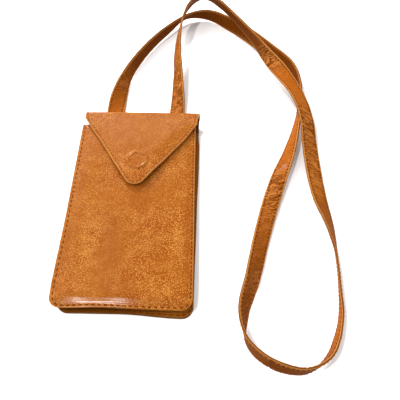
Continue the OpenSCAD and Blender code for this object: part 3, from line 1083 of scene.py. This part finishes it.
def on_fold(run):
    """Outer face of the leather from the tip over the fold to the root: y, z and outward y, z in mm."""
    if run <= UPPER_START:
        return run, FLAP_TOP, 0.0, 1.0
    if run <= SPINE_START:
        a = (run - UPPER_START) / UPPER_BEND
        return (UPPER_START + UPPER_BEND * math.sin(a), FLAP_TOP - UPPER_BEND * (1 - math.cos(a)),
                math.sin(a), math.cos(a))
    if run <= LOWER_START:
        return FOLD, FLAP_TOP - UPPER_BEND - (run - SPINE_START), 1.0, 0.0
    if run <= ROOT_START:
        a = (run - LOWER_START) / LOWER_BEND
        return (FOLD - LOWER_BEND * (1 - math.cos(a)), ROOT_UNDER + LOWER_BEND * (1 - math.sin(a)),
                math.cos(a), -math.sin(a))
    return FOLD - LOWER_BEND - (run - ROOT_START), ROOT_UNDER, 0.0, -1.0


def slide(x, y, z):
    """The flap pulls to both sides at its fold, less on top at the right; its tip sits a little left."""
    fold = (-0.8 + 2.1 * ramp(x, -50, 30)) * ramp(y, 45, 92) - 2.4 * ramp(x, 38, 52) * ramp(z, 14.5, 17.5)
    tip = 1.2 * (1 - ramp(y, TIP, 62)) * (1 - 0.8 * bell(math.hypot(x, y - SNAP_Y), 14))
    return (fold - tip) * ramp(z, 2, 12)


def fold_point(x, run, height):
    y, z, ny, nz = on_fold(run)
    lift = 0.6 * (1 - ramp(y, TIP, 26)) + 0.5 * ramp(y, 70, 92)
    return Vector((x + slide(x, y, z), y + height * ny + lift * ramp(z, 4, 16), z + height * nz)) * mm


TIP_RADIUS = 9.5
TIP_CENTRE = TIP + TIP_RADIUS


def slant(side, drop):
    """Outward direction of a slant edge of the flap that starts that far below the fold."""
    rise = FOLD - drop - TIP_CENTRE
    turn = math.atan2(rise, HALF) - math.acos(TIP_RADIUS / math.hypot(HALF, rise))
    return side * math.cos(turn), math.sin(turn)


LEFT_SLANT = slant(side=-1, drop=8.5)
RIGHT_SLANT = slant(side=1, drop=14.3)


def flap_line(inset):
    """Free edge of the flap's flat pattern, drawn in by an inset, from the left fold end to the right."""
    left, right = LEFT_SLANT, RIGHT_SLANT
    radius = TIP_RADIUS - inset
    half = HALF - inset

    def shoulder(n, side):
        return side * half, TIP_CENTRE + (radius - n[0] * side * half) / n[1]

    line = [(-half, SEAM_PLACE), shoulder(left, -1)]
    start, end = math.atan2(left[1], left[0]), math.atan2(right[1], right[0])
    for i in range(17):
        a = start + (end - start) * i / 16
        line.append((radius * math.cos(a), TIP_CENTRE + radius * math.sin(a)))
    return line + [shoulder(right, 1), (half, SEAM_PLACE)]


FLAP_EDGE = flap_line(0)


def flap_height(x, run):
    """Relief of the flap over its plain bent face."""
    edge = distance_to(FLAP_EDGE, x, run)
    height = -0.4 * (1 - ramp(edge, 0, 0.6)) - 0.22 * bell(edge - FLAP_SEAM, 0.7)
    height += flap_sag(x, run)
    ring = math.hypot(x, run - SNAP_Y)
    height += 1.05 * ramp(PRINT_RADIUS - ring, 0, 2.2) - 0.6 * ramp(HOLLOW_RADIUS - ring, 0, 1.3)
    calm = ramp(edge, 4, 12) * ramp(ring, 11, 18)
    height += calm * 0.25 * drift(x / 22, run / 17, 6.6)
    return height


def flap_sag(x, run):
    """The flap hangs a little at its tip and towards the fold."""
    ring = math.hypot(x, run - SNAP_Y)
    edge = distance_to(FLAP_EDGE, x, run)
    before_fold = 1 - ramp(run, UPPER_START, SPINE_START)
    sag = -1.2 * ramp(-run, -30, -6) * ramp(ring, 10, 24)
    sag -= 1.4 * (1 - ramp(edge, 0, 15)) * ramp(run, 26, 44) * (1 - ramp(run, 64, 84)) * ramp(ring, 10, 18)
    sag -= 0.9 * ramp(run, 58, 90) * before_fold
    sag -= 0.5 * ramp(abs(x), 20, 52) * ramp(run, 50, 80) * before_fold
    return sag


def cut_flap(name, inset, rings, cell, fine=None):
    """Flat pattern of the flap and the upper half of its spine."""
    left, right = LEFT_SLANT, RIGHT_SLANT
    radius = TIP_RADIUS - inset
    scale = left[0] * right[1] - left[1] * right[0]
    apex = (radius * (right[1] - left[1]) / scale, TIP_CENTRE + radius * (left[0] - right[0]) / scale)
    reach = math.sqrt(math.hypot(apex[0], apex[1] - TIP_CENTRE) ** 2 - radius ** 2)
    half = HALF - inset
    slants = [((n[0] * radius, TIP_CENTRE + n[1] * radius), n) for n in (left, right)]
    corners = [(*apex, reach, 14, (0, TIP_CENTRE), radius)]
    return cut_pattern(name, (-half, apex[1] - 2), (half, SEAM_PLACE), slants, corners, rings, cell, fine)


flap = cut_flap("flap_leather", 0, (0.25, 0.4, 0.7, 0.5, 0.5, 0.55, 0.7), 1.6, (0, SNAP_Y, 13.5))
press(flap, lambda x, run: fold_point(x, run, flap_height(x, run)), LEATHER, [TAN, RAW, SPLIT])
wear_rim(flap, FLAP_EDGE, WORN)
ready(flap, None, "tan_leather", "flap")

flap_inside = cut_flap("flap_inside", INNER_INSET, (0.3, 0.7), 3)
press(flap_inside, lambda x, run: fold_point(x, run, flap_sag(x, run) - LEATHER - LAYER_GAP), INNER_LEATHER,
      [SPLIT, RAW])
ready(flap_inside, None, "inner_leather", "flap_lining")

# The root's inner face and the inner layer take the dark split: painted shade inside the fold.
root = cut_pattern("root_leather", (-HALF, SEAM_PLACE), (HALF, ROOT_START + ROOT_LENGTH), [], [], (), 1.3)
press(root, lambda x, run: fold_point(x, run, 0.0), LEATHER, [TAN, DARK_EDGE, ROOT_INNER_SHADE])
ready(root, None, "tan_leather", "flap_root", "flap_spine")

root_inside = cut_pattern("root_inside", (INNER_INSET - HALF, SEAM_PLACE),
                          (HALF - INNER_INSET, LOWER_START - 0.5), [], [], (), 1.3)
press(root_inside, lambda x, run: fold_point(x, run, -LEATHER - LAYER_GAP), INNER_LEATHER,
      [ROOT_INNER_SHADE, DARK_EDGE])
ready(root_inside, None, "inner_leather", "spine_lining")


def bend_at_fold(piece):
    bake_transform(piece)


bend_at_fold(flap)
bend_at_fold(flap_inside)
for piece in (root, root_inside):
    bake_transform(piece)


# ---- seams of the pouch

def seam_line(path, height_of, up):
    """Points of a seam in metres with the face's direction."""
    return [(laid(x, y, height_of(x, y)), Vector((0, 0, up))) for x, y, _, _ in path]


def front_row():
    """The seam of the front: nearer to the edge along the bottom, and nearer still up the right side."""
    row = []
    for x, y, nx, ny in side_path(BODY_SEAM):
        foot = ramp(-y, 80, 92)
        inset = BODY_SEAM - ramp(x, -50, -42) * foot - 1.4 * ramp(x, 44, 51) * (1 - foot)
        row.append((x + (BODY_SEAM - inset) * nx, y + (BODY_SEAM - inset) * ny, nx, ny))
    return row


front_line = seam_line(front_row(), front_height, 1)
turn = max(i for i, (place, _) in enumerate(front_line) if place.y < (FOOT + CORNER) * mm)
sew("front_stitches", even_places(front_line[:turn + 1], 4.7, 2.0), 1.5, 1.2, 0.2)
sew("right_stitches", even_places(front_line[turn:], 3.5, 1.0), 1.3, 1.0, 0.1)
mouth_row = [(laid(x, MOUTH - MOUTH_SEAM, front_height(x, MOUTH - MOUTH_SEAM)), Vector((0, 0, 1)))
             for x in range(-48, 49, 2)]
sew("mouth_stitches", even_places(mouth_row, 4.0), 2.3, 0.8, 0.05)
back_seam = even_places(seam_line(side_path(BODY_SEAM, BACK_TOP), back_height, -1), 4.35, 2.0)
sew("back_stitches", back_seam, 2.5, 0.85, 0.15)
lip_seam = even_places(seam_line(side_path(LIP_SEAM), lambda x, y: LIP_HEIGHT, 1), 4.7, 2.0)
upright = [row for row in lip_seam if row[0].y > (FOOT + CORNER) * mm]
sew("lip_stitches", upright, 2.2, 0.9, 0.0, thread=TAN_THREAD)
lower = [row for row in lip_seam if row not in upright]
sew("foot_stitches", lower, 2.2, 0.9, 0.0)

flap_row = flap_line(FLAP_SEAM)
dense = []
for (ax, ay), (bx, by) in zip(flap_row, flap_row[1:]):
    steps = max(1, round(math.hypot(bx - ax, by - ay)))
    dense += [(ax + (bx - ax) * i / steps, ay + (by - ay) * i / steps) for i in range(steps)]
dense = [(x, run) for x, run in dense + [flap_row[-1]] if run < SPINE_START]
flap_places = [(fold_point(x, run, flap_height(x, run)), Vector((0, *on_fold(run)[2:]))) for x, run in dense]
flap_seam = sew("flap_stitches", even_places(flap_places, 3.45, 1.0), 1.35, 0.8, 0.15, body=None)
bend_at_fold(flap_seam)


# ---- finishes of the carried-over parts

for finish, names in (
    (BOARD, ["root_stiffener"]), (STRAP, ["strap_tab_left", "strap_tab_right"]), (FERRITE, ["snap_magnet"]),
    (NICKEL, ["snap_case", "snap_pole_plate", "snap_female_prongs", "snap_female_washer", "snap_male_plate",
              "snap_stud", "snap_male_prongs", "snap_male_washer"]),
):
    for name in names:
        dress(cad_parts[name], [finish])
